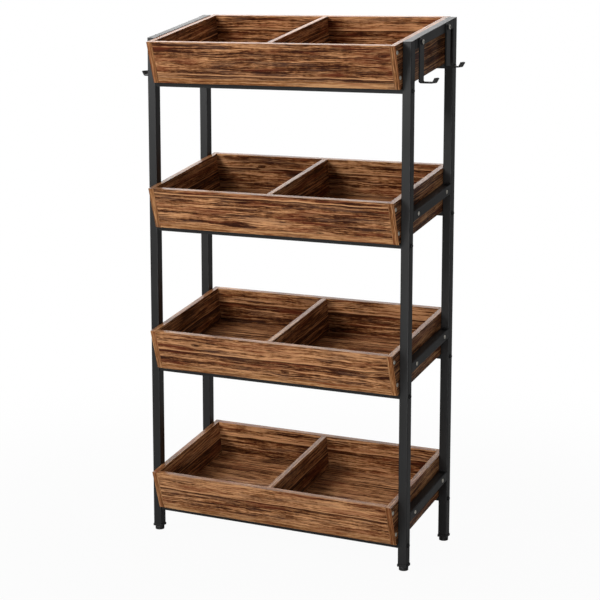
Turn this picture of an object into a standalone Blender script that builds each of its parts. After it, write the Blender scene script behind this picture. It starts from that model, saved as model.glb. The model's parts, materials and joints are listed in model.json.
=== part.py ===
from math import atan2, cos, pi, radians, sin, tan

import bmesh
import bpy
from mathutils import Matrix, Vector

# A pantry rack of four tiers. Each tier is an open wooden tray that leans forward between two steel side
# frames. Metres, +Z up, the front towards -Y, the origin under the middle of the whole rack.
# In a tier's own frame u runs back up the slope, w stands square to it, and both start where the crossbar's
# underside meets the plane of the posts' front faces.

# Frame as a whole
WIDTH = 0.600
DEPTH = 0.232
TILT = radians(10.75)
TIERS = ("bottom", "lower", "upper", "top")
LOWEST_TIER = 0.0457
LOWEST_PITCH = 0.3096
TIER_PITCH = 0.3040
SIDES = {"left": -1, "right": 1}
GAP = 0.0003
OVERRUN = 0.004

# Square tube of the posts and rails
TUBE = 0.019
TUBE_WALL = 0.0012
TUBE_CORNER = 0.0016
TUBE_INNER_CORNER = 0.0006
CORNER_STEPS = 3

# Crossbars: steel channels, open underneath, with a thick end wall for the end bolt
BAR_HEIGHT = 0.0095
BAR_DEPTH = 0.016
BAR_WALL = 0.0015
BAR_END = 0.004
BAR_THREAD = 0.003

# Trays
BOARD = 0.012
TRAY_HEIGHT = 0.089
TRAY_FOOT_REACH = 0.0045
TRAY_RIM_REACH = 0.0165
TRAY_REAR_REACH = 0.028

# Rails, and how far in from each end of a rail its tray bolts sit
RAIL_RISE = 0.0575
TOP_RAIL_PROUD = 0.001
FRONT_BOLT_INSET = 0.0265
REAR_BOLT_INSET = 0.0230

# Bolts
SHANK_RADIUS = 0.0027
SCREW_GRIP = 0.009
BAR_HEAD_RADIUS = 0.0047
BAR_HEAD_HEIGHT = 0.0024
BARREL_RADIUS = 0.0043
BARREL_HOLE_RADIUS = 0.0056
BARREL_PROUD = 0.0006
HOOK_HEAD_RADIUS = 0.0058
HOOK_HEAD_HEIGHT = 0.0032
HEAD_EDGE = 0.0006
SOCKET_RADIUS = 0.0021
SOCKET_DEPTH = 0.0016
ROUND_STEPS = 20
DOME_STEPS = 4

# Hooks: one flat strip, bent at the foot and again at the lip, set in from each end of the top rail
FRONT_HOOK_INSET = 0.0255
REAR_HOOK_INSET = 0.0335
HOOK_WIDTH = 0.020
HOOK_THICKNESS = 0.003
HOOK_TOP_DROP = 0.002
HOOK_LENGTH = 0.088
HOOK_REACH = 0.030
HOOK_LIP_OUT = 0.005
HOOK_LIP_UP = 0.009
HOOK_BEND = 0.0035
HOOK_CORNER = 0.003
BEND_STEPS = 4

# Levelling feet and the plugs that hold them
PAD_RADIUS = 0.0098
PAD_HEIGHT = 0.0080
PAD_EDGE = 0.0016
STUD_RADIUS = 0.0030
STUD_LENGTH = 0.024
PLUG_FLANGE = 0.0050
PLUG_LIP = 0.0011
PLUG_CORNER = 0.0018
PLUG_DEPTH = 0.014
PLUG_BODY_CORNER = 0.0010

# Worked out from the sizes above
TRAY_FLOOR = BAR_HEIGHT + GAP
TRAY_RIM = TRAY_FLOOR + TRAY_HEIGHT
TOP_RAIL_RISE = TRAY_RIM + TOP_RAIL_PROUD - TUBE / 2
TUBE_BOTTOM = PAD_HEIGHT + GAP + PLUG_FLANGE + GAP
INNER_HALF = WIDTH / 2 - TUBE
TRAY_REAR = (DEPTH + TRAY_FLOOR * sin(TILT)) / cos(TILT) + TRAY_REAR_REACH
FRONTMOST = -TRAY_RIM_REACH * cos(TILT) - TRAY_RIM * sin(TILT)
REARMOST = TRAY_REAR * cos(TILT) - TRAY_FLOOR * sin(TILT)
POST_FRONT = -(FRONTMOST + REARMOST) / 2
POST_PLACES = {"front": TUBE / 2, "rear": DEPTH - TUBE / 2}
HOOK_PLACES = {"front": TUBE + FRONT_HOOK_INSET, "rear": DEPTH - TUBE - REAR_HOOK_INSET}

FINISHES = {
    "steel": ((0.030, 0.031, 0.033), 0.42, 0.75),
    "wood": ((0.150, 0.065, 0.030), 0.55, 0.0),
    "zinc": ((0.620, 0.620, 0.600), 0.30, 1.0),
    "plastic": ((0.012, 0.012, 0.012), 0.50, 0.0),
}


def slope_u(y, w):
    return (y + w * sin(TILT)) / cos(TILT)


def slope_height(y, w):
    return y * tan(TILT) + w / cos(TILT)


# The bottom tier hangs a little lower than the even pitch of the others would put it.
def tier_height(tier):
    steps = TIERS.index(tier)
    if steps == 0:
        return LOWEST_TIER
    return LOWEST_TIER + LOWEST_PITCH + (steps - 1) * TIER_PITCH


def tray_bolt_places():
    front = slope_u(TUBE, RAIL_RISE) + FRONT_BOLT_INSET
    rear = slope_u(DEPTH - TUBE, RAIL_RISE) - REAR_BOLT_INSET
    return {"front": front, "rear": rear}


def clear_scene():
    for obj in list(bpy.data.objects):
        bpy.data.objects.remove(obj, do_unlink=True)


def empty(name, parent, location, turn=0):
    obj = bpy.data.objects.new(name, None)
    bpy.context.scene.collection.objects.link(obj)
    obj.parent = parent
    obj.location = location
    obj.rotation_euler.x = turn
    return obj


def add_object(name, mesh, parent, location):
    obj = bpy.data.objects.new(name, mesh)
    bpy.context.scene.collection.objects.link(obj)
    obj.parent = parent
    obj.location = location
    return obj


def add_piece(name, mesh, finish, parent, location=(0, 0, 0)):
    colour, roughness, metallic = FINISHES[finish]
    material = bpy.data.materials.new(name)
    material.use_nodes = True
    shader = material.node_tree.nodes["Principled BSDF"]
    shader.inputs["Base Color"].default_value = (*colour, 1)
    shader.inputs["Roughness"].default_value = roughness
    shader.inputs["Metallic"].default_value = metallic
    mesh.materials.append(material)
    return add_object(name, mesh, parent, location)


def add_helper(name, mesh, parent, location=(0, 0, 0)):
    obj = add_object(name, mesh, parent, location)
    obj.hide_render = True
    obj.display_type = "WIRE"
    return obj


def combine(obj, helper, operation):
    modifier = obj.modifiers.new(helper.name, "BOOLEAN")
    modifier.operation = operation
    modifier.object = helper
    modifier.solver = "EXACT"


def finished_mesh(name, bm):
    bmesh.ops.recalc_face_normals(bm, faces=bm.faces)
    mesh = bpy.data.meshes.new(name)
    bm.to_mesh(mesh)
    bm.free()
    mesh.shade_smooth()
    mesh.set_sharp_from_angle(angle=radians(35))
    return mesh


def skin(bm, rings, closed_start=True, closed_end=True):
    loops = [[bm.verts.new(point) for point in ring] for ring in rings]
    for near, far in zip(loops, loops[1:]):
        for i in range(len(near)):
            j = (i + 1) % len(near)
            bm.faces.new((near[i], near[j], far[j], far[i]))
    if closed_start:
        bm.faces.new(loops[0])
    if closed_end:
        bm.faces.new(loops[-1])
    return loops


def prism_mesh(name, rings):
    bm = bmesh.new()
    skin(bm, rings)
    return finished_mesh(name, bm)


def across(outline, low, high):
    return [[Vector((x, u, w)) for u, w in outline] for x in (low, high)]


def rounded_square(side, radius):
    flat = side / 2 - radius
    corners = ((flat, flat), (-flat, flat), (-flat, -flat), (flat, -flat))
    points = []
    for quarter, (a, b) in enumerate(corners):
        for step in range(CORNER_STEPS + 1):
            angle = (quarter + step / CORNER_STEPS) * pi / 2
            points.append((a + radius * cos(angle), b + radius * sin(angle)))
    return points


def tube_outlines():
    inner = TUBE - 2 * TUBE_WALL
    return rounded_square(TUBE, TUBE_CORNER), rounded_square(inner, TUBE_INNER_CORNER)


def round_ring(radius, x):
    turns = [2 * pi * step / ROUND_STEPS for step in range(ROUND_STEPS)]
    return [Vector((x, radius * cos(turn), radius * sin(turn))) for turn in turns]


def cylinder_mesh(name, radius, low, high):
    return prism_mesh(name, [round_ring(radius, low), round_ring(radius, high)])


def hexagon_mesh(name, radius, low, high):
    turns = [pi * step / 3 for step in range(6)]
    rings = [[Vector((x, radius * cos(turn), radius * sin(turn))) for turn in turns] for x in (low, high)]
    return prism_mesh(name, rings)


# The bolt lies along X with the seat of its head at zero. The shank runs in from there, and the head out.
def bolt_mesh(name, side, head_radius, head_height, shank_length, dome):
    rings = [round_ring(SHANK_RADIUS, -side * shank_length)]
    rings.append(round_ring(SHANK_RADIUS, 0))
    rings.append(round_ring(head_radius, 0))
    shoulder = head_height - dome
    for step in range(DOME_STEPS):
        angle = step / DOME_STEPS * pi / 2
        reach = SOCKET_RADIUS + HEAD_EDGE
        radius = reach + (head_radius - reach) * cos(angle)
        rings.append(round_ring(radius, side * (shoulder + dome * sin(angle))))
    rings.append(round_ring(SOCKET_RADIUS + HEAD_EDGE, side * head_height))
    return prism_mesh(name, rings)


def cut_socket(bolt, name, side, height, parent, location):
    low, high = sorted((side * (height - SOCKET_DEPTH), side * (height + OVERRUN)))
    cutter = add_helper(name, hexagon_mesh(name, SOCKET_RADIUS, low, high), parent, location)
    combine(bolt, cutter, "DIFFERENCE")


def bore(obj, name, radius, low, high, parent, location):
    cutter = add_helper(name, cylinder_mesh(name, radius, low, high), parent, location)
    combine(obj, cutter, "DIFFERENCE")


def build_post(rack, end, side):
    name = f"{end}_{side}_post"
    centre = POST_PLACES[end]
    outer, inner = tube_outlines()
    top = tier_height("top") - TUBE_BOTTOM

    def ring(outline, height):
        return [Vector((x, y, height(centre + y))) for x, y in outline]

    def crown(y):
        return top + slope_height(y, TOP_RAIL_RISE + TUBE / 2)

    # Each bolt hole has a square patch of wall to itself, between a ring below it and one above it.
    bolt_heights = [tier_height(tier) + slope_height(centre, BAR_HEIGHT / 2) for tier in TIERS]
    patch = TUBE / 2 - TUBE_CORNER
    levels = [0] + [height + step - TUBE_BOTTOM for height in bolt_heights for step in (-patch, patch)]
    bm = bmesh.new()
    walls = [ring(outer, lambda y, level=level: level) for level in levels]
    outside = skin(bm, walls + [ring(outer, crown)], closed_start=False)
    linings = [ring(inner, lambda y, level=level: level) for level in levels]
    inside = skin(bm, linings + [ring(inner, lambda y: crown(y) - TUBE_WALL)], closed_start=False)
    for i in range(len(outer)):
        j = (i + 1) % len(outer)
        bm.faces.new((outside[0][i], outside[0][j], inside[0][j], inside[0][i]))
    mesh = finished_mesh(name, bm)

    location = (SIDES[side] * (WIDTH - TUBE) / 2, centre, TUBE_BOTTOM)
    post = add_piece(name, mesh, "steel", rack, location)
    reach = TUBE / 2 + OVERRUN
    for tier, height in zip(TIERS, bolt_heights):
        place = (location[0], centre, height)
        bore(post, f"{name}_{tier}_bolt_hole", SHANK_RADIUS + GAP, -reach, reach, rack, place)


def build_plug_and_foot(rack, end, side):
    x = SIDES[side] * (WIDTH - TUBE) / 2
    place = (x, POST_PLACES[end], PAD_HEIGHT + GAP)
    flange = rounded_square(TUBE + 2 * PLUG_LIP, PLUG_CORNER)
    body = rounded_square(TUBE - 2 * TUBE_WALL - 2 * GAP, PLUG_BODY_CORNER)
    levels = ((flange, 0), (flange, PLUG_FLANGE), (body, PLUG_FLANGE), (body, PLUG_FLANGE + PLUG_DEPTH))
    rings = [[Vector((a, b, level)) for a, b in outline] for outline, level in levels]
    name = f"{end}_{side}_plug"
    plug = add_piece(name, prism_mesh(name, rings), "plastic", rack, place)
    top = PLUG_FLANGE + PLUG_DEPTH + OVERRUN
    cutter_mesh = cylinder_mesh(f"{name}_bore", STUD_RADIUS + GAP, -OVERRUN, top)
    cutter = add_helper(f"{name}_bore", cutter_mesh, rack, place)
    cutter.rotation_euler.y = -pi / 2
    combine(plug, cutter, "DIFFERENCE")

    profile = ((PAD_RADIUS - PAD_EDGE, 0), (PAD_RADIUS, PAD_EDGE), (PAD_RADIUS, PAD_HEIGHT - PAD_EDGE))
    profile += ((PAD_RADIUS - PAD_EDGE, PAD_HEIGHT), (STUD_RADIUS, PAD_HEIGHT))
    profile += ((STUD_RADIUS, PAD_HEIGHT + STUD_LENGTH),)
    name = f"{end}_{side}_foot"
    rings = [[Vector((y, z, x)) for x, y, z in round_ring(radius, height)] for radius, height in profile]
    add_piece(name, prism_mesh(name, rings), "plastic", rack, (x, POST_PLACES[end], 0))


def build_crossbar(tier_frame, tier, end):
    name = f"{tier}_{end}_crossbar"
    half = INNER_HALF - GAP
    centre = (0, slope_u(POST_PLACES[end], BAR_HEIGHT / 2), BAR_HEIGHT / 2)
    near, low = -BAR_DEPTH / 2, -BAR_HEIGHT / 2
    outline = ((near, low), (-near, low), (-near, -low), (near, -low))
    bar = add_piece(name, prism_mesh(name, across(outline, -half, half)), "steel", tier_frame, centre)

    inset = near + BAR_WALL
    mouth, roof = low - OVERRUN, -low - BAR_WALL
    channel = ((inset, mouth), (-inset, mouth), (-inset, roof), (inset, roof))
    hollow = half - BAR_END
    cutter = prism_mesh(f"{name}_channel", across(channel, -hollow, hollow))
    combine(bar, add_helper(f"{name}_channel", cutter, tier_frame, centre), "DIFFERENCE")

    for side, sign in SIDES.items():
        bolt_name = f"{name}_{side}_bolt"
        seat = (sign * (WIDTH / 2 + GAP), centre[1], centre[2])
        length = GAP + TUBE + GAP + BAR_THREAD
        mesh = bolt_mesh(bolt_name, sign, BAR_HEAD_RADIUS, BAR_HEAD_HEIGHT, length, BAR_HEAD_HEIGHT - HEAD_EDGE)
        combine(bar, add_helper(bolt_name, mesh, tier_frame, seat), "UNION")
        cut_socket(bar, f"{bolt_name}_socket", sign, BAR_HEAD_HEIGHT, tier_frame, seat)


def build_rail(tier_frame, tier, side):
    name = f"{tier}_{side}_rail"
    sign = SIDES[side]
    rise = TOP_RAIL_RISE if tier == "top" else RAIL_RISE
    centre = (sign * (WIDTH - TUBE) / 2, 0, rise)
    outer, inner = tube_outlines()

    def ring(outline, y):
        return [Vector((x, slope_u(y, rise + w), w)) for x, w in outline]

    ends = (TUBE + GAP, DEPTH - TUBE - GAP)
    bm = bmesh.new()
    outside = skin(bm, [ring(outer, y) for y in ends], closed_start=False, closed_end=False)
    inside = skin(bm, [ring(inner, y) for y in ends], closed_start=False, closed_end=False)
    for end in (0, -1):
        for i in range(len(outer)):
            j = (i + 1) % len(outer)
            bm.faces.new((outside[end][i], outside[end][j], inside[end][j], inside[end][i]))
    rail = add_piece(name, finished_mesh(name, bm), "steel", tier_frame, centre)

    if tier == "top":
        reach = TUBE / 2 + OVERRUN
        for end, y in HOOK_PLACES.items():
            place = (centre[0], slope_u(y, rise), rise)
            bore(rail, f"{name}_{end}_hole", SHANK_RADIUS + GAP, -reach, reach, tier_frame, place)
        return
    for end, u in tray_bolt_places().items():
        face = (sign * WIDTH / 2, u, rise)
        low, high = sorted((-sign * 2 * TUBE_WALL, sign * OVERRUN))
        bore(rail, f"{name}_{end}_hole", BARREL_HOLE_RADIUS, low, high, tier_frame, face)
        seat = (sign * (INNER_HALF + TUBE_WALL / 2), u, rise)
        barrel = TUBE - TUBE_WALL / 2 + BARREL_PROUD
        grip = TUBE_WALL / 2 + GAP + SCREW_GRIP
        bolt_name = f"{name}_{end}_bolt"
        mesh = bolt_mesh(bolt_name, sign, BARREL_RADIUS, barrel, grip, HEAD_EDGE)
        combine(rail, add_helper(bolt_name, mesh, tier_frame, seat), "UNION")
        cut_socket(rail, f"{bolt_name}_socket", sign, barrel, tier_frame, seat)


def front_reach(w):
    share = (w - TRAY_FLOOR) / TRAY_HEIGHT
    return -TRAY_FOOT_REACH - (TRAY_RIM_REACH - TRAY_FOOT_REACH) * share


def build_tray(tier_frame, tier):
    lean = (TRAY_RIM_REACH - TRAY_FOOT_REACH) / TRAY_HEIGHT
    front_board = BOARD * (1 + lean**2) ** 0.5
    outer = INNER_HALF - GAP
    inner = outer - BOARD - GAP
    base_top = TRAY_FLOOR + BOARD
    back_face = TRAY_REAR - BOARD

    outline = ((front_reach(TRAY_FLOOR), TRAY_FLOOR), (TRAY_REAR, TRAY_FLOOR))
    outline += ((TRAY_REAR, TRAY_RIM), (front_reach(TRAY_RIM), TRAY_RIM))
    for side, sign in SIDES.items():
        name = f"{tier}_tray_{side}_side"
        low, high = sorted((sign * (outer - BOARD), sign * outer))
        panel = add_piece(name, prism_mesh(name, across(outline, low, high)), "wood", tier_frame)
        if tier == "top":
            rise = TOP_RAIL_RISE
            places = {end: slope_u(y, rise) for end, y in HOOK_PLACES.items()}
        else:
            rise = RAIL_RISE
            places = tray_bolt_places()
        for end, u in places.items():
            low, high = sorted((-sign * (SCREW_GRIP + GAP), sign * OVERRUN))
            face = (sign * outer, u, rise)
            bore(panel, f"{name}_{end}_hole", SHANK_RADIUS + GAP, low, high, tier_frame, face)

    base = ((front_reach(TRAY_FLOOR), TRAY_FLOOR), (back_face - GAP, TRAY_FLOOR))
    base += ((back_face - GAP, base_top), (front_reach(base_top), base_top))
    seat = base_top + GAP
    front = ((front_reach(seat), seat), (front_reach(seat) + front_board, seat))
    front += ((front_reach(TRAY_RIM) + front_board, TRAY_RIM), (front_reach(TRAY_RIM), TRAY_RIM))
    back = ((back_face, TRAY_FLOOR), (TRAY_REAR, TRAY_FLOOR), (TRAY_REAR, TRAY_RIM), (back_face, TRAY_RIM))
    for board, outline in (("base", base), ("front", front), ("back", back)):
        name = f"{tier}_tray_{board}"
        add_piece(name, prism_mesh(name, across(outline, -inner, inner)), "wood", tier_frame)

    behind = front_board + GAP
    divider = ((front_reach(seat) + behind, seat), (back_face - GAP, seat))
    divider += ((back_face - GAP, TRAY_RIM), (front_reach(TRAY_RIM) + behind, TRAY_RIM))
    name = f"{tier}_tray_divider"
    add_piece(name, prism_mesh(name, across(divider, -BOARD / 2, BOARD / 2)), "wood", tier_frame)


# The centre line of a strip bent to one radius: straight runs between the corners, with an arc at each bend.
def bent_line(corners, radius):
    points = [corners[0]]
    for before, corner, after in zip(corners, corners[1:], corners[2:]):
        back = (before - corner).normalized()
        ahead = (after - corner).normalized()
        half_angle = back.angle(ahead) / 2
        centre = corner + (back + ahead).normalized() * radius / sin(half_angle)
        start = corner + back * radius / tan(half_angle) - centre
        end = corner + ahead * radius / tan(half_angle) - centre
        sweep = atan2(start.cross(end), start.dot(end))
        for step in range(BEND_STEPS + 1):
            points.append(centre + Matrix.Rotation(sweep * step / BEND_STEPS, 2) @ start)
    points.append(corners[-1])
    return points


def build_hook(rack, end, side):
    sign = SIDES[side]
    y = HOOK_PLACES[end]
    top = tier_height("top") + slope_height(y, TOP_RAIL_RISE + TUBE / 2) - HOOK_TOP_DROP
    face = (sign * WIDTH / 2, y, top)
    middle = GAP + HOOK_THICKNESS / 2
    foot = HOOK_THICKNESS / 2 - HOOK_LENGTH
    corners = [Vector((middle, 0)), Vector((middle, foot)), Vector((HOOK_REACH, foot))]
    corners.append(Vector((HOOK_REACH + HOOK_LIP_OUT, foot + HOOK_LIP_UP)))
    line = bent_line(corners, HOOK_BEND)
    ahead = [(b - a).normalized() for a, b in zip(line, line[1:])]
    along = [ahead[0]] + [(a + b).normalized() for a, b in zip(ahead, ahead[1:])] + [ahead[-1]]
    offsets = [Vector((-run.y, run.x)) * HOOK_THICKNESS / 2 for run in along]
    outline = [point + offset for point, offset in zip(line, offsets)]
    outline += [point - offset for point, offset in reversed(list(zip(line, offsets)))]
    rings = [[Vector((sign * x, width, z)) for x, z in outline] for width in (-HOOK_WIDTH / 2, HOOK_WIDTH / 2)]
    name = f"{end}_{side}_hook"
    mesh = prism_mesh(name, rings)
    round_strap_top(mesh)
    hook = add_piece(name, mesh, "steel", rack, face)

    bolt_drop = HOOK_TOP_DROP - TUBE / 2 / cos(TILT)
    axis = (face[0], y, top + bolt_drop)
    low, high = sorted((-sign * OVERRUN, sign * (GAP + HOOK_THICKNESS + OVERRUN)))
    bore(hook, f"{name}_hole", SHANK_RADIUS + GAP, low, high, rack, axis)

    name = f"{end}_{side}_hook_bolt"
    length = GAP + HOOK_THICKNESS + GAP + TUBE + GAP + SCREW_GRIP
    seat = (sign * (WIDTH / 2 + GAP + HOOK_THICKNESS + GAP), y, axis[2])
    mesh = bolt_mesh(name, sign, HOOK_HEAD_RADIUS, HOOK_HEAD_HEIGHT, length, HOOK_HEAD_HEIGHT - HEAD_EDGE)
    bolt = add_piece(name, mesh, "zinc", rack, seat)
    cut_socket(bolt, f"{name}_socket", sign, HOOK_HEAD_HEIGHT, rack, seat)


def round_strap_top(mesh):
    bm = bmesh.new()
    bm.from_mesh(mesh)
    highest = max(vertex.co.z for vertex in bm.verts)
    corners = []
    for edge in bm.edges:
        first, second = (vertex.co for vertex in edge.verts)
        level = max(highest - first.z, highest - second.z) < GAP
        if level and abs(first.y - second.y) < GAP:
            corners.append(edge)
    bmesh.ops.bevel(bm, geom=corners, offset=HOOK_CORNER, segments=BEND_STEPS, affect="EDGES")
    bm.to_mesh(mesh)
    bm.free()


def build_rack():
    clear_scene()
    rack = empty("rack", None, (0, POST_FRONT, 0))
    for side in SIDES:
        for end in POST_PLACES:
            build_post(rack, end, side)
            build_plug_and_foot(rack, end, side)
        for end in HOOK_PLACES:
            build_hook(rack, end, side)
    for tier in TIERS:
        tier_frame = empty(f"{tier}_tier", rack, (0, 0, tier_height(tier)), TILT)
        for end in POST_PLACES:
            build_crossbar(tier_frame, tier, end)
        for side in SIDES:
            build_rail(tier_frame, tier, side)
        build_tray(tier_frame, tier)


build_rack()
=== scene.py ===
import json
import random
from math import cos, pi, radians, sin, tan

import bmesh
import bpy
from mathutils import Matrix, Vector

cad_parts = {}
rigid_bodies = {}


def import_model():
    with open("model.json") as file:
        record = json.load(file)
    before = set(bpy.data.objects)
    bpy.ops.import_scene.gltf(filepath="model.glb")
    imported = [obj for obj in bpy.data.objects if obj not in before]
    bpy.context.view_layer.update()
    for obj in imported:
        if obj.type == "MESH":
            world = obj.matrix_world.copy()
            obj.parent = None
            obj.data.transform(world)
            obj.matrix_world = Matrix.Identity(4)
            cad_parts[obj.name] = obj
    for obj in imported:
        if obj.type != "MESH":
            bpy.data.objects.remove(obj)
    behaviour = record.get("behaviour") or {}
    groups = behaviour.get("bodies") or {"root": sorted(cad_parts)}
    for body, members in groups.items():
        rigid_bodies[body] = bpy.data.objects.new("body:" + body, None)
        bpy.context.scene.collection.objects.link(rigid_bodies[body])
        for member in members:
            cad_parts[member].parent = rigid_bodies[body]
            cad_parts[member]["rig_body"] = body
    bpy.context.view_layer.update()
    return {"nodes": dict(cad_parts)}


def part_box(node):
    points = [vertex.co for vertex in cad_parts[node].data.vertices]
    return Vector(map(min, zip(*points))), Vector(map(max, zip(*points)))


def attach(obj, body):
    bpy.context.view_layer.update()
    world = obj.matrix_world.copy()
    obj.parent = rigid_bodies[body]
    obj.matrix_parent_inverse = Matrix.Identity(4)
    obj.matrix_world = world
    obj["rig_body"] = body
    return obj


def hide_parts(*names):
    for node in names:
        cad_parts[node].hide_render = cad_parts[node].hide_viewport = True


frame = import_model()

nodes = frame["nodes"]
scene = bpy.context.scene
print("frame loaded,", len(nodes), "nodes")

# the rack's own layout, in metres
rack = {
    "slope": radians(10.75),   # how far every tier leans forward
    "tiers": {"bottom": 0.0457, "lower": 0.3553, "upper": 0.6593, "top": 0.9633},
    "postFront": -0.112435,
    "depth": 0.232,
    "halfWidth": 0.300,
    "tube": 0.019,
    "board": 0.012,
    "trayHalfWidth": 0.2807,
    "trayFloor": 0.0098,
    "trayHeight": 0.089,
    "frontFoot": 0.0045,       # how far a front board's foot stands in front of the posts
    "frontLean": 0.012,        # and how much further its rim does
    "railRise": 0.0575,
    "topRailRise": 0.0903,
}
corners = [f"{end}_{side}" for end in ("front", "rear") for side in ("left", "right")]


def tierPoint(tier, x, along, up):
    # a point given along and square to a tray's floor
    lean = rack["slope"]
    y = rack["postFront"] + along * cos(lean) - up * sin(lean)
    z = rack["tiers"][tier] + along * sin(lean) + up * cos(lean)
    return Vector((x, y, z))


def slopeHeight(tier, fromFront, up):
    # height of a sloping line at a distance behind the posts' front
    lean = rack["slope"]
    return rack["tiers"][tier] + fromFront * tan(lean) + up / cos(lean)


def tone(red, green, blue):
    # screen values 0-255 to the linear colour that shaders take
    parts = [value / 255 for value in (red, green, blue)]
    return (*[part / 12.92 if part <= 0.04045 else ((part + 0.055) / 1.055) ** 2.4 for part in parts], 1.0)


def grow(tree, kind, inputs=None, **settings):
    # one node with its settings; an input is a value or another node's output
    made = tree.nodes.new(kind)
    for name, value in settings.items():
        setattr(made, name, value)
    for name, value in (inputs or {}).items():
        if isinstance(value, bpy.types.NodeSocket):
            tree.links.new(value, made.inputs[name])
        else:
            made.inputs[name].default_value = value
    return made


def sums(tree, operation, *values, clamp=False):
    made = grow(tree, "ShaderNodeMath", dict(enumerate(values)), operation=operation, use_clamp=clamp)
    return made.outputs[0]


def stretched(tree, vector, factors):
    made = grow(tree, "ShaderNodeVectorMath", {0: vector, 1: factors}, operation="MULTIPLY")
    return made.outputs[0]


def noise(tree, vector, factors, detail, roughness, distortion=0.0):
    # a noise with its own frequency on each axis
    made = grow(tree, "ShaderNodeTexNoise",
                {"Vector": stretched(tree, vector, factors), "Scale": 1.0, "Detail": detail,
                 "Roughness": roughness, "Distortion": distortion})
    return made.outputs["Fac"]


def ramped(tree, value, low, high, lowOut=0.0, highOut=1.0, smooth=True):
    made = grow(tree, "ShaderNodeMapRange", {"Value": value, "From Min": low, "From Max": high,
                                             "To Min": lowOut, "To Max": highOut})
    made.interpolation_type = "SMOOTHSTEP" if smooth else "LINEAR"
    return made.outputs["Result"]


def mixed(tree, factor, first, second, blend="MIX"):
    made = grow(tree, "ShaderNodeMix", data_type="RGBA", blend_type=blend)
    for socket, value in ((made.inputs[0], factor), (made.inputs[6], first), (made.inputs[7], second)):
        if isinstance(value, bpy.types.NodeSocket):
            tree.links.new(value, socket)
        else:
            socket.default_value = value
    return made.outputs[2]


def addInputs(tree, inputs):
    for label, kind, value in inputs:
        socket = tree.interface.new_socket(name=label, in_out="INPUT", socket_type=kind)
        if value is not None:
            socket.default_value = value


def newGroup(name, inputs, outputs):
    tree = bpy.data.node_groups.new(name, "ShaderNodeTree")
    addInputs(tree, inputs)
    for label, kind in outputs:
        tree.interface.new_socket(name=label, in_out="OUTPUT", socket_type=kind)
    return tree, tree.nodes.new("NodeGroupInput"), tree.nodes.new("NodeGroupOutput")


def newMaterial(name):
    material = bpy.data.materials.new(name)
    material.use_nodes = True
    return material, material.node_tree, material.node_tree.nodes["Principled BSDF"]


def wire(tree, node, pairs):
    # links or sets the named inputs of a node
    for label, value in pairs.items():
        if isinstance(value, bpy.types.NodeSocket):
            tree.links.new(value, node.inputs[label])
        else:
            node.inputs[label].default_value = value


# Noise is given as its frequency along, across and through a board, its detail, roughness and distortion.
# A ramp is given as the values it starts and ends at, and then what it gives there if not 0 and 1.
woodLook = {
    "plankWidth": 0.088,       # the board's print shows joined planks of this width
    "waviness": 0.010,
    "wobble": 0.0036,
    "face": {"dark": tone(48, 19, 6), "middle": tone(132, 84, 49), "pale": tone(201, 148, 103),
             "contrast": 1.12, "edgeShare": 0.3},
    "band": {"dark": tone(84, 47, 22), "middle": tone(136, 89, 52), "pale": tone(190, 142, 98),
             "contrast": 0.8, "edgeShare": 0.25},
    "red": tone(110, 50, 28),
    "grey": tone(98, 72, 58),
    "roughness": 0.34,
    "specular": 0.12,
    "bump": {"Strength": 0.3, "Distance": 0.0003},
    "sway": ((4.0, 13.0, 9.0), 2.0, 0.5),
    "wobbles": ((22.0, 60.0, 9.0), 1.0, 0.5),
    # the layers of the grain, each with how much it lightens and darkens the shade
    "layers": {
        "streak": (((10.0, 105.0, 60.0), 4.0, 0.74, 0.1), 2.4),
        "broad": (((5.0, 38.0, 30.0), 2.0, 0.5), 1.0),
        "long": (((6.0, 420.0, 70.0), 2.0, 0.6), 2.8),
        "short": (((60.0, 620.0, 90.0), 2.0, 0.6, 0.2), 1.8),
        "fibre": (((120.0, 1900.0, 300.0), 2.0, 0.6), 0.9),
        "sawn": (((150.0, 9.0, 30.0), 1.0, 0.5), 0.25),
    },
    "fading": {"reach": (0.70, 1.0), "depth": (0.36, 0.60, 0.08, 0.30)},
    "drift": {"noise": ((9.0, 75.0, 50.0), 2.0, 0.55), "red": (0.51, 0.66, 0.0, 0.5),
              "grey": (0.46, 0.32, 0.0, 0.38)},
    "checks": {"noise": ((15.0, 480.0, 77.0), 2.0, 0.6, 0.1), "ramp": (0.60, 0.67), "share": 0.72,
               "depth": 0.35, "roughness": 0.12},
    "hairs": {"noise": ((11.0, 620.0, 91.0), 1.0, 0.5), "ramp": (0.64, 0.72), "share": 0.6},
    "joint": {"breaks": ((14.0, 3.0, 40.0), 2.0, 0.5), "broken": (0.30, 0.52, 0.35, 0.95),
              "line": (0.016, 0.036, 1.0, 0.0), "lineShare": 0.9,
              "under": (0.935, 0.975), "underShare": 0.7},
    "knots": {"cells": (4.2, 13.0, 3.0), "few": (0.56, 0.60), "narrow": (36.0, 105.0, 0.0), "pull": -0.75,
              "rings": 26.0, "ringShade": (-0.2, 1.0, 0.35, 0.8), "edge": (0.20, 0.42, 1.0, 0.0),
              "halo": 0.3},
    "fibreDepth": 0.5,
    "fibreRoughness": 0.16,
    "usualRoughness": 0.1,     # what checks and fibres add to the roughness on average
}


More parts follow.
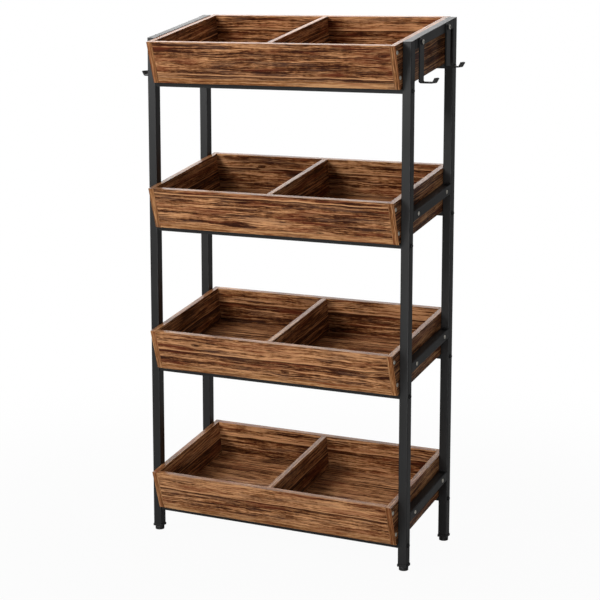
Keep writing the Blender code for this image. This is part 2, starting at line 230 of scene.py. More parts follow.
def woodGrainGroup():
    tree, given, result = newGroup(
        "rustic grain",
        [("Grain", "NodeSocketVector", None), ("Above Joint", "NodeSocketFloat", 0.0),
         ("Below Joint", "NodeSocketFloat", 0.0), ("Plank Width", "NodeSocketFloat", 0.09),
         ("Waviness", "NodeSocketFloat", 0.01), ("Contrast", "NodeSocketFloat", 1.0),
         ("Dark", "NodeSocketColor", (0, 0, 0, 1)), ("Middle", "NodeSocketColor", (0.2, 0.1, 0.05, 1)),
         ("Pale", "NodeSocketColor", (0.5, 0.3, 0.2, 1)), ("Red", "NodeSocketColor", (0.3, 0.1, 0.05, 1)),
         ("Grey", "NodeSocketColor", (0.2, 0.1, 0.1, 1))],
        [("Color", "NodeSocketColor"), ("Height", "NodeSocketFloat"), ("Roughness", "NodeSocketFloat")])
    grain = given.outputs["Grain"]
    contrast = given.outputs["Contrast"]
    dark, pale = given.outputs["Dark"], given.outputs["Pale"]
    knots, joint = woodLook["knots"], woodLook["joint"]
    checks, hairs = woodLook["checks"], woodLook["hairs"]

    def times(first, second, clamp=False):
        return sums(tree, "MULTIPLY", first, second, clamp=clamp)

    def swing(value, strength):
        return times(sums(tree, "SUBTRACT", value, 0.5), strength)

    # knots, one in a few cells, push the lines of the grain apart
    cells = grow(tree, "ShaderNodeTexVoronoi",
                 {"Vector": stretched(tree, grain, knots["cells"]), "Scale": 1.0},
                 feature="F1", distance="EUCLIDEAN")
    cellTone = grow(tree, "ShaderNodeSeparateColor", {0: cells.outputs["Color"]}).outputs[0]
    few = ramped(tree, cellTone, *knots["few"])
    core = stretched(tree, cells.outputs["Position"], tuple(1 / count for count in knots["cells"]))
    away = grow(tree, "ShaderNodeVectorMath", {0: grain, 1: core}, operation="SUBTRACT").outputs[0]
    flat = stretched(tree, away, knots["narrow"])
    reach = grow(tree, "ShaderNodeVectorMath", {0: flat}, operation="LENGTH").outputs["Value"]
    falloff = sums(tree, "EXPONENT", times(times(reach, reach), -1.0))
    pull = times(times(falloff, few), knots["pull"])
    awayParts = grow(tree, "ShaderNodeSeparateXYZ", {0: away})
    pushed = times(awayParts.outputs["Y"], pull)

    parts = grow(tree, "ShaderNodeSeparateXYZ", {0: grain})
    sway = swing(noise(tree, grain, *woodLook["sway"]), given.outputs["Waviness"])
    wobble = swing(noise(tree, grain, *woodLook["wobbles"]), woodLook["wobble"])
    across = sums(tree, "ADD", sums(tree, "ADD", parts.outputs["Y"], sway), sums(tree, "ADD", wobble, pushed))
    bent = grow(tree, "ShaderNodeCombineXYZ",
                {0: parts.outputs["X"], 1: across, 2: parts.outputs["Z"]}).outputs[0]

    plankPart = sums(tree, "FRACT", sums(tree, "DIVIDE", across, given.outputs["Plank Width"]))
    isAbove = sums(tree, "GREATER_THAN", across, 0.0)
    plankTone = ramped(tree, isAbove, 0.0, 1.0, given.outputs["Below Joint"], given.outputs["Above Joint"],
                       smooth=False)

    layers = {name: noise(tree, bent, *values) for name, (values, strength) in woodLook["layers"].items()}
    level = None
    for name, (values, strength) in woodLook["layers"].items():
        layer = swing(layers[name], strength)
        level = layer if level is None else sums(tree, "ADD", level, layer)
    level = sums(tree, "MULTIPLY_ADD", sums(tree, "ADD", level, plankTone), contrast, 0.5)

    # the plank under a joint starts dark and clears away from it
    fading = times(ramped(tree, plankPart, *woodLook["fading"]["reach"]),
                   ramped(tree, layers["broad"], *woodLook["fading"]["depth"]))
    level = sums(tree, "SUBTRACT", level, times(fading, contrast))

    lower = times(level, 2.0, clamp=True)
    upper = sums(tree, "SUBTRACT", times(level, 2.0), 1.0, clamp=True)
    colour = mixed(tree, lower, dark, given.outputs["Middle"])
    colour = mixed(tree, upper, colour, pale)

    # slow drifts towards a redder and a greyer brown
    drift = noise(tree, bent, *woodLook["drift"]["noise"])
    colour = mixed(tree, ramped(tree, drift, *woodLook["drift"]["red"]), colour, given.outputs["Red"])
    colour = mixed(tree, ramped(tree, drift, *woodLook["drift"]["grey"]), colour, given.outputs["Grey"])

    # fine dark checks along the grain, and pale hairlines between them
    check = ramped(tree, noise(tree, bent, *checks["noise"]), *checks["ramp"])
    colour = mixed(tree, times(times(check, checks["share"]), contrast, clamp=True), colour, dark)
    hair = ramped(tree, noise(tree, bent, *hairs["noise"]), *hairs["ramp"])
    colour = mixed(tree, times(times(hair, hairs["share"]), contrast), colour, pale)

    # a pale line with a shadow under it where two planks of the print meet
    broken = ramped(tree, noise(tree, grain, *joint["breaks"]), *joint["broken"])
    line = times(ramped(tree, plankPart, *joint["line"]), broken)
    under = times(ramped(tree, plankPart, *joint["under"]), broken)
    colour = mixed(tree, times(line, joint["lineShare"]), colour, pale)
    colour = mixed(tree, times(under, joint["underShare"]), colour, dark)

    ring = sums(tree, "SINE", times(reach, knots["rings"]))
    knot = times(ramped(tree, reach, *knots["edge"]), ramped(tree, ring, *knots["ringShade"]))
    knot = times(sums(tree, "MULTIPLY_ADD", falloff, knots["halo"], knot), few, clamp=True)
    colour = mixed(tree, times(knot, contrast, clamp=True), colour, dark)

    height = sums(tree, "ADD", layers["streak"], times(layers["fibre"], woodLook["fibreDepth"]))
    height = sums(tree, "SUBTRACT", height, times(check, checks["depth"]))
    rough = sums(tree, "ADD", times(check, checks["roughness"]),
                 times(layers["fibre"], woodLook["fibreRoughness"]))
    wire(tree, result, {"Color": colour, "Height": height, "Roughness": rough})
    return tree


woodGrain = woodGrainGroup()


def woodMaterial(name, look):
    material, tree, shader = newMaterial(name)
    place = grow(tree, "ShaderNodeAttribute", attribute_name="grain")
    planks = grow(tree, "ShaderNodeAttribute", attribute_name="planks")
    plankTones = grow(tree, "ShaderNodeSeparateXYZ", {0: planks.outputs["Vector"]})
    edge = grow(tree, "ShaderNodeAttribute", attribute_name="edge")
    group = grow(tree, "ShaderNodeGroup", node_tree=woodGrain)
    wire(tree, group, {
        "Grain": place.outputs["Vector"], "Above Joint": plankTones.outputs["X"],
        "Below Joint": plankTones.outputs["Y"], "Plank Width": woodLook["plankWidth"],
        "Waviness": woodLook["waviness"], "Contrast": look["contrast"], "Dark": look["dark"],
        "Middle": look["middle"], "Pale": look["pale"], "Red": woodLook["red"], "Grey": woodLook["grey"]})
    # rounded edges turn toward the pale band colour: partly wear, partly a painted highlight along the edges
    edgeWearAndHighlight = sums(tree, "MULTIPLY", edge.outputs["Fac"], look["edgeShare"])
    colour = mixed(tree, edgeWearAndHighlight, group.outputs["Color"], woodLook["band"]["pale"])
    rough = sums(tree, "ADD", group.outputs["Roughness"], woodLook["roughness"] - woodLook["usualRoughness"])
    bump = grow(tree, "ShaderNodeBump", {"Height": group.outputs["Height"], **woodLook["bump"]})
    wire(tree, shader, {"Base Color": colour, "Roughness": rough, "Normal": bump.outputs[0],
                        "Specular IOR Level": woodLook["specular"]})
    return material


boardFace = woodMaterial("rustic board face", woodLook["face"])
boardBand = woodMaterial("rustic edge band", woodLook["band"])
print("wood materials made")

# each edge colour is painted on rounded edges: partly wear, partly a painted highlight
coatLook = {"dark": tone(10, 10, 10), "pale": tone(18, 18, 18), "edge": tone(44, 44, 44), "roughness": 0.42,
            "pebble": 0.0011, "bumpDepth": 0.0002, "metallic": 0.0}
metalLook = {"dark": tone(206, 201, 190), "pale": tone(236, 231, 219), "roughness": 0.3,
             "pebble": 0.0006, "bumpDepth": 0.00004, "metallic": 0.45}
# black steel of the crossbar bolts, also used as painted shade round the hook bolts' rims
blackBoltAndRimShadeLook = {"dark": tone(18, 18, 19), "pale": tone(38, 38, 39), "roughness": 0.34,
                 "pebble": 0.0006, "bumpDepth": 0.00004, "metallic": 0.5}
plasticLook = {"dark": tone(14, 14, 14), "pale": tone(23, 23, 23), "edge": tone(42, 42, 43),
               "roughness": 0.42, "pebble": 0.0007, "bumpDepth": 0.00008, "metallic": 0.0}
padLook = {"dark": tone(14, 14, 14), "pale": tone(22, 22, 22), "edge": tone(40, 40, 41), "roughness": 0.5,
           "pebble": 0.0009, "bumpDepth": 0.00012, "metallic": 0.0}
# shared by the coated, moulded and plated parts; noise as in the wood, but along X, Y and Z
surface = {
    "pebbles": ((1.0, 1.0, 1.0), 3.0, 0.55), "pebbleShare": 0.6, "drift": ((9.0, 9.0, 6.0), 4.0, 0.6),
    "driftShare": 0.7, "shadeRange": (0.42, 0.88), "edgeShare": 0.5, "roughSpread": 0.1, "bumpStrength": 0.3,
}


def surfaceGroup():
    # fine pebbling and slow drift in shade
    tree, given, result = newGroup(
        "fine pebbled surface",
        [("Place", "NodeSocketVector", None), ("Pebble Size", "NodeSocketFloat", 0.001)],
        [("Shade", "NodeSocketFloat"), ("Height", "NodeSocketFloat")])
    place = given.outputs["Place"]
    finer = sums(tree, "DIVIDE", 1.0, given.outputs["Pebble Size"])
    scaled = grow(tree, "ShaderNodeVectorMath", {0: place, "Scale": finer}, operation="SCALE")
    pebble = noise(tree, scaled.outputs[0], *surface["pebbles"])
    drift = noise(tree, place, *surface["drift"])
    shade = sums(tree, "ADD", sums(tree, "MULTIPLY", drift, surface["driftShare"]),
                 sums(tree, "MULTIPLY", pebble, surface["pebbleShare"]))
    wire(tree, result, {"Shade": ramped(tree, shade, *surface["shadeRange"], smooth=False), "Height": pebble})
    return tree


pebbled = surfaceGroup()


def finishMaterial(name, look):
    material, tree, shader = newMaterial(name)
    place = grow(tree, "ShaderNodeTexCoord").outputs["Object"]
    group = grow(tree, "ShaderNodeGroup", node_tree=pebbled)
    wire(tree, group, {"Place": place, "Pebble Size": look["pebble"]})
    colour = mixed(tree, group.outputs["Shade"], look["dark"], look["pale"])
    # rounded edges turn toward the paler edge grey: partly wear, partly a painted highlight along the edges
    if "edge" in look:
        edge = grow(tree, "ShaderNodeAttribute", attribute_name="edge")
        colour = mixed(tree, sums(tree, "MULTIPLY", edge.outputs["Fac"], surface["edgeShare"]), colour,
                       look["edge"])
    spread = surface["roughSpread"] / 2
    rough = ramped(tree, group.outputs["Shade"], 0.0, 1.0, look["roughness"] - spread,
                   look["roughness"] + spread, smooth=False)
    bump = grow(tree, "ShaderNodeBump",
                {"Height": group.outputs["Height"], "Strength": surface["bumpStrength"],
                 "Distance": look["bumpDepth"]})
    wire(tree, shader, {"Base Color": colour, "Roughness": rough, "Normal": bump.outputs[0],
                        "Metallic": look["metallic"]})
    return material


blackCoat = finishMaterial("black powder coat", coatLook)
brightMetal = finishMaterial("bright plated steel", metalLook)
blackBoltAndRimShade = finishMaterial("blackened bolt steel and rim shade", blackBoltAndRimShadeLook)
plugPlastic = finishMaterial("moulded black plastic", plasticLook)
padRubber = finishMaterial("black foot pad", padLook)
print("steel, plastic and pad materials made")

# angles in degrees: faces that turn less than flat are joined, an edge sharper than hard is rounded, and one
# that turns less than smooth shades evenly
meshWork = {"mergeWithin": 0.00001, "flat": 0.5, "hard": 38.0, "smooth": 42.0, "roundingSteps": 2}


def shadedMesh(work, name, smoothAngle):
    # ends a bmesh as a mesh with even shading across its softer edges
    for face in work.faces:
        face.smooth = True
    for edge in work.edges:
        edge.smooth = edge.calc_face_angle(0.0) < radians(smoothAngle)
    mesh = bpy.data.meshes.new(name)
    work.to_mesh(mesh)
    work.free()
    return mesh


def softened(nodeName, rounding):
    # a merged copy of a node's mesh with its hard edges rounded; the rounding is marked for the materials
    work = bmesh.new()
    work.from_mesh(nodes[nodeName].data)
    bmesh.ops.remove_doubles(work, verts=work.verts, dist=meshWork["mergeWithin"])
    bmesh.ops.dissolve_limit(work, angle_limit=radians(meshWork["flat"]), verts=work.verts, edges=work.edges)
    marked = work.faces.layers.float.new("edge")
    hard = [edge for edge in work.edges
            if edge.is_manifold and edge.calc_face_angle(0.0) > radians(meshWork["hard"])]
    if rounding:
        made = bmesh.ops.bevel(work, geom=hard, offset=rounding, offset_type="OFFSET",
                               segments=meshWork["roundingSteps"], profile=0.5, affect="EDGES",
                               clamp_overlap=True)
        for face in made["faces"]:
            face[marked] = 1.0
    bmesh.ops.triangulate(work, faces=[face for face in work.faces if len(face.verts) > 4])
    return shadedMesh(work, nodeName + "_look", meshWork["smooth"])


def settle(mesh, name, replaced, body=None):
    # puts a finished mesh in the scene, riding on the body of the node that it stands for
    piece = bpy.data.objects.new(name, mesh)
    scene.collection.objects.link(piece)
    evenNormals = piece.modifiers.new("even shading", "WEIGHTED_NORMAL")
    evenNormals.keep_sharp = True
    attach(piece, body or nodes[replaced[0]]["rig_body"])
    if replaced:
        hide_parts(*replaced)


boards = {
    "rounding": 0.0007,
    "seed": 11,
    # how far the print starts along and through the board is drawn from these ranges
    "starts": {"along": (0.0, 4.0), "through": (0.0, 20.0)},
    # the axes of the tier in which a board is long, wide and thin
    "axes": {"front": "xwu", "back": "xwu", "base": "xuw", "left_side": "uwx", "right_side": "uwx",
             "divider": "uwx"},
    # where the plank joint of the print crosses each board, up from the crossbars or back from the posts
    "joint": {"back": 0.069, "base": 0.115, "left_side": 0.058, "right_side": 0.062, "divider": 0.060},
    "frontJoint": {"bottom": 0.0625, "lower": 0.0590, "upper": 0.0880, "top": 0.0290},
    # how much paler or darker the print is above and below its joint; besides the print's own tones these
    # values paint light: front boards are paler on lower tiers to make up for light that falls off towards
    # the floor, side boards and dividers are darker as painted shade inside the trays, and the top back board
    # is darker against the top light
    "planks": {"back": (0.08, -0.02), "base": (0.06, -0.02), "left_side": (-0.08, -0.14),
               "right_side": (-0.10, -0.14), "divider": (-0.08, -0.13)},
    "frontTonesWithLight": {"bottom": (0.18, 0.00), "lower": (0.08, -0.02), "upper": (-0.08, -0.03),
                    "top": (-0.20, 0.05)},
    "topBackTonesWithShade": (-0.10, -0.04),
    "baseEdge": 0.20,
    # a face is an edge band where less than this of it faces through the board; a band's print lies clear of
    # the joint, and the shares say how fast the print changes through a band and through a board
    "bandBelow": 0.75, "bandClear": 0.03, "bandThickness": 0.02, "thickness": 0.1,
}
shuffle = random.Random(boards["seed"])


def layGrain(mesh, tier, part):
    # writes each face corner's place along, across and through the grain
    lean = rack["slope"]
    longAxis, wideAxis, thinAxis = boards["axes"][part]
    joint = boards["frontJoint"][tier] if part == "front" else boards["joint"][part]
    # the plank tones picked here are partly the print's and partly painted light and shade
    if part == "front":
        planks = boards["frontTonesWithLight"][tier]
    elif part == "back" and tier == "top":
        planks = boards["topBackTonesWithShade"]
    else:
        planks = boards["planks"][part]
    start = shuffle.uniform(*boards["starts"]["along"])
    depth = shuffle.uniform(*boards["starts"]["through"])
    mesh.materials.append(boardFace)
    mesh.materials.append(boardBand)
    base = tierPoint(tier, 0.0, 0.0, 0.0)
    grain = [0.0] * (3 * len(mesh.loops))
    plankTones, bands = [], []
    bandTone = (boards["baseEdge"] if part == "base" else 0.0,) * 2

    def inTier(vector, origin):
        offset = vector - origin
        return {"x": offset.x, "u": offset.y * cos(lean) + offset.z * sin(lean),
                "w": offset.z * cos(lean) - offset.y * sin(lean)}

    for face in mesh.polygons:
        facing = {axis: abs(value) for axis, value in inTier(face.normal, Vector()).items()}
        isBand = facing[thinAxis] < boards["bandBelow"]
        order = longAxis + wideAxis + thinAxis
        if isBand:
            order = (wideAxis + thinAxis + longAxis) if facing[longAxis] > facing[wideAxis] else (
                longAxis + thinAxis + wideAxis)
        bands.append(1 if isBand else 0)
        plankTones += (*(bandTone if isBand else planks), 0.0)
        for corner in face.loop_indices:
            place = inTier(mesh.vertices[mesh.loops[corner].vertex_index].co, base)
            along, across, through = (place[axis] for axis in order)
            if isBand:
                through *= boards["bandThickness"]
                across += joint + boards["bandClear"]
            grain[3 * corner:3 * corner + 3] = (along + start, across - joint,
                                                through * boards["thickness"] + depth)
    mesh.polygons.foreach_set("material_index", bands)
    for name, place, values in (("grain", "CORNER", grain), ("planks", "FACE", plankTones)):
        mesh.attributes.new(name, "FLOAT_VECTOR", place)
        mesh.attributes[name].data.foreach_set("vector", values)


for tier in rack["tiers"]:
    for part in boards["axes"]:
        nodeName = f"{tier}_tray_{part}"
        mesh = softened(nodeName, boards["rounding"])
        layGrain(mesh, tier, part)
        settle(mesh, nodeName + "_wood", [nodeName])
print("24 boards dressed")


def dressed(nodeName, suffix, rounding, finish, extra=None, isExtra=None):
    # a rounded copy of a node in one finish, with a second one on the faces that isExtra picks
    mesh = softened(nodeName, rounding)
    mesh.materials.append(finish)
    if extra:
        mesh.materials.append(extra)
        mesh.polygons.foreach_set("material_index", [int(isExtra(face)) for face in mesh.polygons])
    settle(mesh, nodeName + suffix, [nodeName])


# tube edges stay as the node has them
rounding = {"tube": 0.0, "crossbar": 0.0004, "hook": 0.0005, "bolt": 0.0002, "plug": 0.0003}
# a hook bolt head takes the bright plating on faces turned further out than this; the rest, its rim among
# them, takes black steel as a painted dark ring of shade
hookBolts = {"brightFacing": 0.8}
barBolts = {"beyond": 0.0002}
# the rails' tray bolts, by their places behind the posts' front along the slope
railBolts = {"radius": 0.0042, "places": (0.05676, 0.20472)}


def isHeadFace(face):
    return abs(face.normal.x) > hookBolts["brightFacing"]


def isBarBolt(face):
    return abs(face.center.x) > rack["halfWidth"] - rack["tube"] + barBolts["beyond"]


def railBoltTest(tier):
    centres = [tierPoint(tier, 0.0, along, rack["railRise"]) for along in railBolts["places"]]

    def isBolt(face):
        return any((face.center - centre).yz.length < railBolts["radius"] for centre in centres)
    return isBolt


for corner in corners:
    dressed(f"{corner}_post", "_coated", rounding["tube"], blackCoat)
    dressed(f"{corner}_hook", "_coated", rounding["hook"], blackCoat)
    # the hook bolts' rims are black as painted shade round their bright heads
    dressed(f"{corner}_hook_bolt", "_bright", rounding["bolt"], blackBoltAndRimShade, brightMetal,
            isHeadFace)
    dressed(f"{corner}_plug", "_moulded", rounding["plug"], plugPlastic)
for tier in rack["tiers"]:
    for end in ("front", "rear"):
        dressed(f"{tier}_{end}_crossbar", "_coated", rounding["crossbar"], blackCoat,
                blackBoltAndRimShade, isBarBolt)
    boltFinish = None if tier == "top" else brightMetal
    for side in ("left", "right"):
        dressed(f"{tier}_{side}_rail", "_coated", rounding["tube"], blackCoat, boltFinish,
                railBoltTest(tier))
print("posts, rails, crossbars, hooks, bolts and plugs dressed")

foot = {
    "padRadius": 0.0098, "padHeight": 0.0080, "padEdge": 0.0016, "around": 36,
    # the pad's underside is hollow, a groove runs round its side and a collar stands round the stud
    "hollow": {"top": 0.62, "rim": 0.70, "depth": 0.0007},
    "groove": {"depth": 0.00025, "low": 0.0030, "high": 0.0034, "end": 0.0037},
    "collar": {"foot": 0.52, "top": 0.50, "height": 0.0003, "gap": 0.0003},
    "lowTurns": (0, 22, 45, 68, 90), "highTurns": (0, 18, 36, 54, 72, 90),
    "studRadius": 0.0030, "studAround": 24, "studSink": 0.001, "threadEnd": 0.0006,
    "tip": ((0.0006, 0.0003), (0.0011, 0.0)),
    "threadPitch": 0.0010, "threadDepth": 0.00042, "threadFlank": 1.4, "rowsPerTurn": 6, "smooth": 40.0,
}


def turnedRows(work, centre, rows, around):
    # joins rings of the same count into one closed turned shape; a row is (radius or function, height)
    rings = []
    for radius, height in rows:
        ring = []
        for step in range(around):
            angle = 2 * pi * step / around
            reach = radius(angle, height) if callable(radius) else radius
            ring.append(work.verts.new((centre.x + reach * cos(angle), centre.y + reach * sin(angle),
                                        centre.z + height)))
        rings.append(ring)
    faces = []
    for lower, upper in zip(rings, rings[1:]):
        for step in range(around):
            other = (step + 1) % around
            faces.append(work.faces.new((lower[step], lower[other], upper[other], upper[step])))
    faces.append(work.faces.new(list(reversed(rings[0]))))
    faces.append(work.faces.new(rings[-1]))
    return faces


def padRows():
    radius, height, edge = foot["padRadius"], foot["padHeight"], foot["padEdge"]
    hollow, groove, collar = foot["hollow"], foot["groove"], foot["collar"]
    lowEdge = edge / 2
    rows = [(radius * hollow["top"], hollow["depth"]), (radius * hollow["rim"], 0.0)]
    for turn in foot["lowTurns"]:
        angle = radians(turn)
        rows.append((radius - lowEdge * (1 - sin(angle)), lowEdge * (1 - cos(angle))))
    rows += [(radius - groove["depth"], groove["low"]), (radius - groove["depth"], groove["high"]),
             (radius, groove["end"])]
    for turn in foot["highTurns"]:
        angle = radians(turn)
        rows.append((radius - edge * (1 - cos(angle)), height - edge * (1 - sin(angle))))
    rows += [(radius * collar["foot"], height), (radius * collar["top"], height + collar["height"]),
             (foot["studRadius"] + collar["gap"], height + collar["height"])]
    return rows


def threadRows(start, stop):
    def ridge(angle, level):
        turn = (level / foot["threadPitch"] - angle / (2 * pi)) % 1.0
        share = 1.0 - abs(2.0 * turn - 1.0)
        return foot["studRadius"] - foot["threadDepth"] * (1.0 - min(1.0, share * foot["threadFlank"]))

    step = foot["threadPitch"] / foot["rowsPerTurn"]
    count = int((stop - foot["threadEnd"] - start) / step)
    rows = [(foot["studRadius"] - foot["threadDepth"], start)]
    rows += [(ridge, start + step * index) for index in range(1, count)]
    rows += [(foot["studRadius"] - inward, stop - drop) for inward, drop in foot["tip"]]
    return rows


def levellingFoot(corner):
    name = f"{corner}_foot"
    low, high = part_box(name)
    centre = Vector(((low.x + high.x) / 2, (low.y + high.y) / 2, low.z))
    radius, height, edge = foot["padRadius"], foot["padHeight"], foot["padEdge"]
    work = bmesh.new()
    marked = work.faces.layers.float.new("edge")
    # faces on the pad's top outer rim are marked for the paler edge colour: a painted highlight along the rim
    for face in turnedRows(work, centre, padRows(), foot["around"]):
        middle = face.calc_center_median()
        nearEdge = (middle - centre).xy.length > radius - edge and middle.z - centre.z > height - edge
        face[marked] = 1.0 if nearEdge else 0.0
        face.material_index = 0
    stud = threadRows(height - foot["studSink"], high.z - centre.z)
    for face in turnedRows(work, centre, stud, foot["studAround"]):
        face.material_index = 1
    mesh = shadedMesh(work, name + "_look", foot["smooth"])
    mesh.materials.append(padRubber)
    mesh.materials.append(brightMetal)
    settle(mesh, name + "_turned", [name])


for corner in corners:
    levellingFoot(corner)
print("levelling feet turned")

screws = {
    "radius": 0.0042, "height": 0.0009, "around": 24, "smooth": 35.0, "seed": 4, "rises": (0.033, 0.084),
    # the head's outline in shares of its radius and height, between its seat and its socket
    "dome": ((1.0, 0.0), (0.985, 0.35), (0.88, 0.72), (0.70, 0.93)),
    "seatShare": 0.98, "seatDepth": 0.0004,
    "socket": 0.0017, "socketDepth": 0.0006, "socketRim": 1.25, "socketLip": 0.97,
}


def screwHeadMesh():
    # a low domed head with a six-sided socket, lying on the origin and facing up
    work = bmesh.new()
    radius, height, socket = screws["radius"], screws["height"], screws["socket"]

    def socketReach(angle, level):
        sector = (angle % (pi / 3)) - pi / 6
        return socket * cos(pi / 6) / cos(sector)

    profile = [(radius * screws["seatShare"], -screws["seatDepth"])]
    profile += [(radius * share, height * level) for share, level in screws["dome"]]
    profile += [(socket * screws["socketRim"], height), (socketReach, height * screws["socketLip"]),
                (socketReach, height - screws["socketDepth"])]
    turnedRows(work, Vector(), profile, screws["around"])
    return shadedMesh(work, "screw_head", screws["smooth"])


def newGeometryTree(name, inputs):
    tree = bpy.data.node_groups.new(name, "GeometryNodeTree")
    tree.interface.new_socket(name="Geometry", in_out="INPUT", socket_type="NodeSocketGeometry")
    addInputs(tree, inputs)
    tree.interface.new_socket(name="Geometry", in_out="OUTPUT", socket_type="NodeSocketGeometry")
    return tree, tree.nodes.new("NodeGroupInput"), tree.nodes.new("NodeGroupOutput")


def randomValue(tree, low, high, seed):
    # one even random number for each point
    made = grow(tree, "FunctionNodeRandomValue", data_type="FLOAT")
    for socket in made.inputs:
        value = {"Min": low, "Max": high, "Seed": seed}.get(socket.name)
        if socket.enabled and isinstance(value, bpy.types.NodeSocket):
            tree.links.new(value, socket)
        elif socket.enabled and value is not None:
            socket.default_value = value
    return next(socket for socket in made.outputs if socket.enabled)


def placedCopies(tree, points, copy, finish, **placing):
    # real copies of a shape on points, all in one finish
    placed = grow(tree, "GeometryNodeInstanceOnPoints", {"Points": points, "Instance": copy, **placing})
    real = grow(tree, "GeometryNodeRealizeInstances", {0: placed.outputs[0]})
    return grow(tree, "GeometryNodeSetMaterial", {"Geometry": real.outputs[0], "Material": finish}).outputs[0]


def identifierOf(tree, label):
    return next(item.identifier for item in tree.interface.items_tree
                if item.item_type == "SOCKET" and item.in_out == "INPUT" and item.name == label)


def runTree(mesh, tree, values, name):
    # runs a geometry tree once on a mesh and keeps the result as a plain mesh
    carrier = bpy.data.objects.new(name + "_carrier", mesh)
    scene.collection.objects.link(carrier)
    modifier = carrier.modifiers.new("layout", "NODES")
    modifier.node_group = tree
    for label, value in values.items():
        modifier[identifierOf(tree, label)] = value
    bpy.context.view_layer.update()
    graph = bpy.context.evaluated_depsgraph_get()
    result = bpy.data.meshes.new_from_object(carrier.evaluated_get(graph))
    result.name = name
    carrier.modifiers.remove(modifier)
    bpy.data.objects.remove(carrier)
    return result


def screwTree():
    tree, given, result = newGeometryTree(
        "screw heads on a board",
        [("Head", "NodeSocketObject", None), ("Size", "NodeSocketFloat", 1.0), ("Seed", "NodeSocketInt", 1),
         ("Finish", "NodeSocketMaterial", None)])
    head = grow(tree, "GeometryNodeObjectInfo", {"Object": given.outputs["Head"]})
    outward = grow(tree, "GeometryNodeInputNamedAttribute", {"Name": "outward"}, data_type="FLOAT_VECTOR")
    aligned = grow(tree, "FunctionNodeAlignRotationToVector", {"Vector": outward.outputs[0]}, axis="Z")
    spin = randomValue(tree, 0.0, 2 * pi, given.outputs["Seed"])
    turned = grow(tree, "FunctionNodeAxisAngleToRotation", {"Axis": (0, 0, 1), "Angle": spin})
    local = grow(tree, "FunctionNodeRotateRotation",
                 {"Rotation": aligned.outputs[0], "Rotate By": turned.outputs[0]}, rotation_space="LOCAL")
    points = grow(tree, "GeometryNodeMeshToPoints", {"Mesh": given.outputs["Geometry"]})
    copies = placedCopies(tree, points.outputs[0], head.outputs["Geometry"], given.outputs["Finish"],
                          Rotation=local.outputs[0], Scale=given.outputs["Size"])
    tree.links.new(copies, result.inputs[0])
    return tree


headObject = bpy.data.objects.new("screw_head_source", screwHeadMesh())
scene.collection.objects.link(headObject)
screwPoints = bpy.data.meshes.new("screw_points")
places, outwards = [], []
for tier in rack["tiers"]:
    for rise in screws["rises"]:
        # the front board leans out, so its middle moves forward with height
        lean = (rise - rack["trayFloor"]) / rack["trayHeight"] * rack["frontLean"]
        reach = -rack["frontFoot"] - lean + rack["board"] / 2
        for sign in (-1, 1):
            places.append(tierPoint(tier, sign * rack["trayHalfWidth"], reach, rise))
            outwards.append((sign, 0.0, 0.0))
screwPoints.from_pydata(places, [], [])
outwardLayer = screwPoints.attributes.new("outward", "FLOAT_VECTOR", "POINT")
for index, direction in enumerate(outwards):
    outwardLayer.data[index].vector = direction
screwMesh = runTree(screwPoints, screwTree(),
                    {"Head": headObject, "Size": 1.0, "Seed": screws["seed"], "Finish": brightMetal},
                    "front_board_screws")
bpy.data.objects.remove(headObject)
settle(screwMesh, "front_board_screws", [], body="rack")
print(len(places), "front board screws placed")

welds = {"bead": 0.0016, "ripple": 0.0011, "inset": 0.0022, "unevenness": 0.18, "seed": 21, "roundness": 2}


def weldTree():
    tree, given, result = newGeometryTree(
        "rippled weld bead",
        [("Bead Radius", "NodeSocketFloat", 0.0015), ("Ripple", "NodeSocketFloat", 0.001),
         ("Unevenness", "NodeSocketFloat", 0.2), ("Seed", "NodeSocketInt", 1),
         ("Finish", "NodeSocketMaterial", None)])
    curve = grow(tree, "GeometryNodeMeshToCurve", {"Mesh": given.outputs["Geometry"]})
    spaced = grow(tree, "GeometryNodeResampleCurve",
                  {"Curve": curve.outputs[0], "Length": given.outputs["Ripple"]}, mode="LENGTH")
    blob = grow(tree, "GeometryNodeMeshIcoSphere",
                {"Radius": given.outputs["Bead Radius"], "Subdivisions": welds["roundness"]})
    smooth = grow(tree, "GeometryNodeSetShadeSmooth", {"Geometry": blob.outputs["Mesh"]})
    least = sums(tree, "SUBTRACT", 1.0, given.outputs["Unevenness"])
    size = randomValue(tree, least, 1.0, given.outputs["Seed"])
    beads = placedCopies(tree, spaced.outputs[0], smooth.outputs[0], given.outputs["Finish"], Scale=size)
    tree.links.new(beads, result.inputs[0])
    return tree


def weldLines():
    # the corners where the rails' upper and lower faces meet the posts
    half = rack["tube"] / 2
    inner = rack["halfWidth"] - rack["tube"] + welds["inset"]
    outer = rack["halfWidth"] - welds["inset"]
    points, edges = [], []
    for tier in rack["tiers"]:
        heights = (rack["railRise"] - half, rack["railRise"] + half)
        if tier == "top":
            heights = (rack["topRailRise"] - half,)
        for up in heights:
            for fromFront in (rack["tube"], rack["depth"] - rack["tube"]):
                z = slopeHeight(tier, fromFront, up)
                for sign in (-1, 1):
                    edges.append((len(points), len(points) + 1))
                    points.append((sign * inner, rack["postFront"] + fromFront, z))
                    points.append((sign * outer, rack["postFront"] + fromFront, z))
    mesh = bpy.data.meshes.new("weld_lines")
    mesh.from_pydata(points, edges, [])
    return mesh


weldMesh = runTree(weldLines(), weldTree(),
                   {"Bead Radius": welds["bead"], "Ripple": welds["ripple"],
                    "Unevenness": welds["unevenness"], "Seed": welds["seed"], "Finish": blackCoat},
                   "weld_beads")
settle(weldMesh, "weld_beads", [], body="rack")
print("weld beads laid")

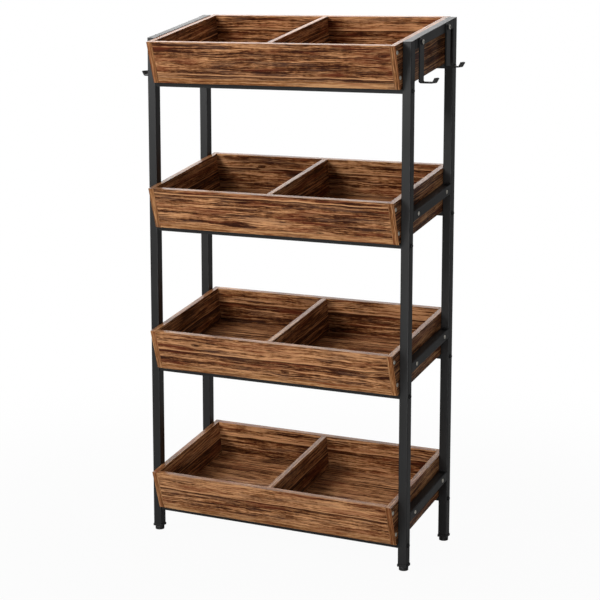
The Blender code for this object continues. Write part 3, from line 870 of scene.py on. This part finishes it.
studio = {
    "floorSize": 14.0, "floorColour": tone(132, 132, 131), "floorCloud": tone(140, 140, 140),
    "floorClouds": ((3.0, 3.0, 3.0), 2.0, 0.5), "floorRoughness": 0.9, "floorSpecular": 0.05,
    "floorGlow": 0.96, "fullGlow": (0.5, 1.6),   # the glow is full beyond the second of these distances
    "skyDiffuse": 0.2, "skyReflected": 0.29, "floorReflected": 0.08,
    "aim": (0, 0, 0.55),
    "lights": {
        "key": {"place": (-1.9, -2.7, 2.3), "size": 1.6, "power": 118.0},
        "top": {"place": (-0.3, 0.3, 3.2), "size": 1.6, "power": 50.0},
        "back": {"place": (-1.5, 2.7, 1.7), "size": 1.8, "power": 34.0},
        "fill": {"place": (2.4, -1.2, 2.1), "size": 1.6, "power": 3.5},
        "low": {"place": (0.6, -2.1, 0.15), "size": 0.9, "power": 21.0},
    },
}


def seenDirectly(tree, glossyShare):
    # 1 for the camera and what shows through, and a share of it for reflections
    path = grow(tree, "ShaderNodeLightPath")
    shown = sums(tree, "MAXIMUM", path.outputs["Is Camera Ray"], path.outputs["Is Transmission Ray"])
    return sums(tree, "MAXIMUM", shown, sums(tree, "MULTIPLY", path.outputs["Is Glossy Ray"], glossyShare))


def studioFloor():
    half = studio["floorSize"] / 2
    mesh = bpy.data.meshes.new("studio_floor")
    square = [(-half, -half, 0), (half, -half, 0), (half, half, 0), (-half, half, 0)]
    mesh.from_pydata(square, [], [(0, 1, 2, 3)])
    floor = bpy.data.objects.new("studio_floor", mesh)
    scene.collection.objects.link(floor)
    material, tree, shader = newMaterial("pale studio floor")
    output = tree.nodes["Material Output"]
    place = grow(tree, "ShaderNodeTexCoord").outputs["Object"]
    cloudy = noise(tree, place, *studio["floorClouds"])
    wire(tree, shader, {"Base Color": mixed(tree, cloudy, studio["floorColour"], studio["floorCloud"]),
                        "Roughness": studio["floorRoughness"], "Specular IOR Level": studio["floorSpecular"]})
    glow = grow(tree, "ShaderNodeEmission", {"Color": (1, 1, 1, 1), "Strength": 1.0})
    away = grow(tree, "ShaderNodeVectorMath", {0: place}, operation="LENGTH").outputs["Value"]
    share = ramped(tree, away, *studio["fullGlow"], studio["floorGlow"], 1.0)
    shown = seenDirectly(tree, studio["floorReflected"])
    blend = grow(tree, "ShaderNodeMixShader", {0: sums(tree, "MULTIPLY", share, shown),
                                               1: shader.outputs[0], 2: glow.outputs[0]})
    tree.links.new(blend.outputs[0], output.inputs["Surface"])
    mesh.materials.append(material)


def studioWorld():
    world = bpy.data.worlds.new("white studio")
    scene.world = world
    world.use_nodes = True
    tree = world.node_tree
    shown = seenDirectly(tree, studio["skyReflected"])
    wire(tree, tree.nodes["Background"], {"Color": (1, 1, 1, 1),
                                          "Strength": sums(tree, "MAXIMUM", shown, studio["skyDiffuse"])})


def softbox(name, values):
    lamp = bpy.data.lights.new(name + "_light", "AREA")
    lamp.shape = "SQUARE"
    lamp.size = values["size"]
    lamp.energy = values["power"]
    holder = bpy.data.objects.new(name + "_light", lamp)
    scene.collection.objects.link(holder)
    holder.visible_camera = False
    holder.location = values["place"]
    holder.rotation_euler = (Vector(studio["aim"]) - holder.location).to_track_quat("-Z", "Y").to_euler()


studioFloor()
studioWorld()
for name, values in studio["lights"].items():
    softbox(name, values)
print("studio lit")

viewpoint = {"place": (1.596, -3.107, 1.163), "turn": 27.26, "down": 9.17, "focalPixels": 1678.7,
             "frame": 600, "shift": (0.0041, -0.065), "sensor": 36.0, "farthest": 50.0}
cameraData = bpy.data.cameras.new("photo_camera")
cameraData.sensor_width = viewpoint["sensor"]
cameraData.lens = viewpoint["focalPixels"] * cameraData.sensor_width / viewpoint["frame"]
cameraData.shift_x, cameraData.shift_y = viewpoint["shift"]
cameraData.clip_end = viewpoint["farthest"]
cameraObject = bpy.data.objects.new("photo_camera", cameraData)
scene.collection.objects.link(cameraObject)
cameraObject.location = viewpoint["place"]
cameraObject.rotation_euler = (radians(90 - viewpoint["down"]), 0.0, radians(viewpoint["turn"]))
scene.camera = cameraObject
scene.view_settings.view_transform = "Standard"
print("camera set")
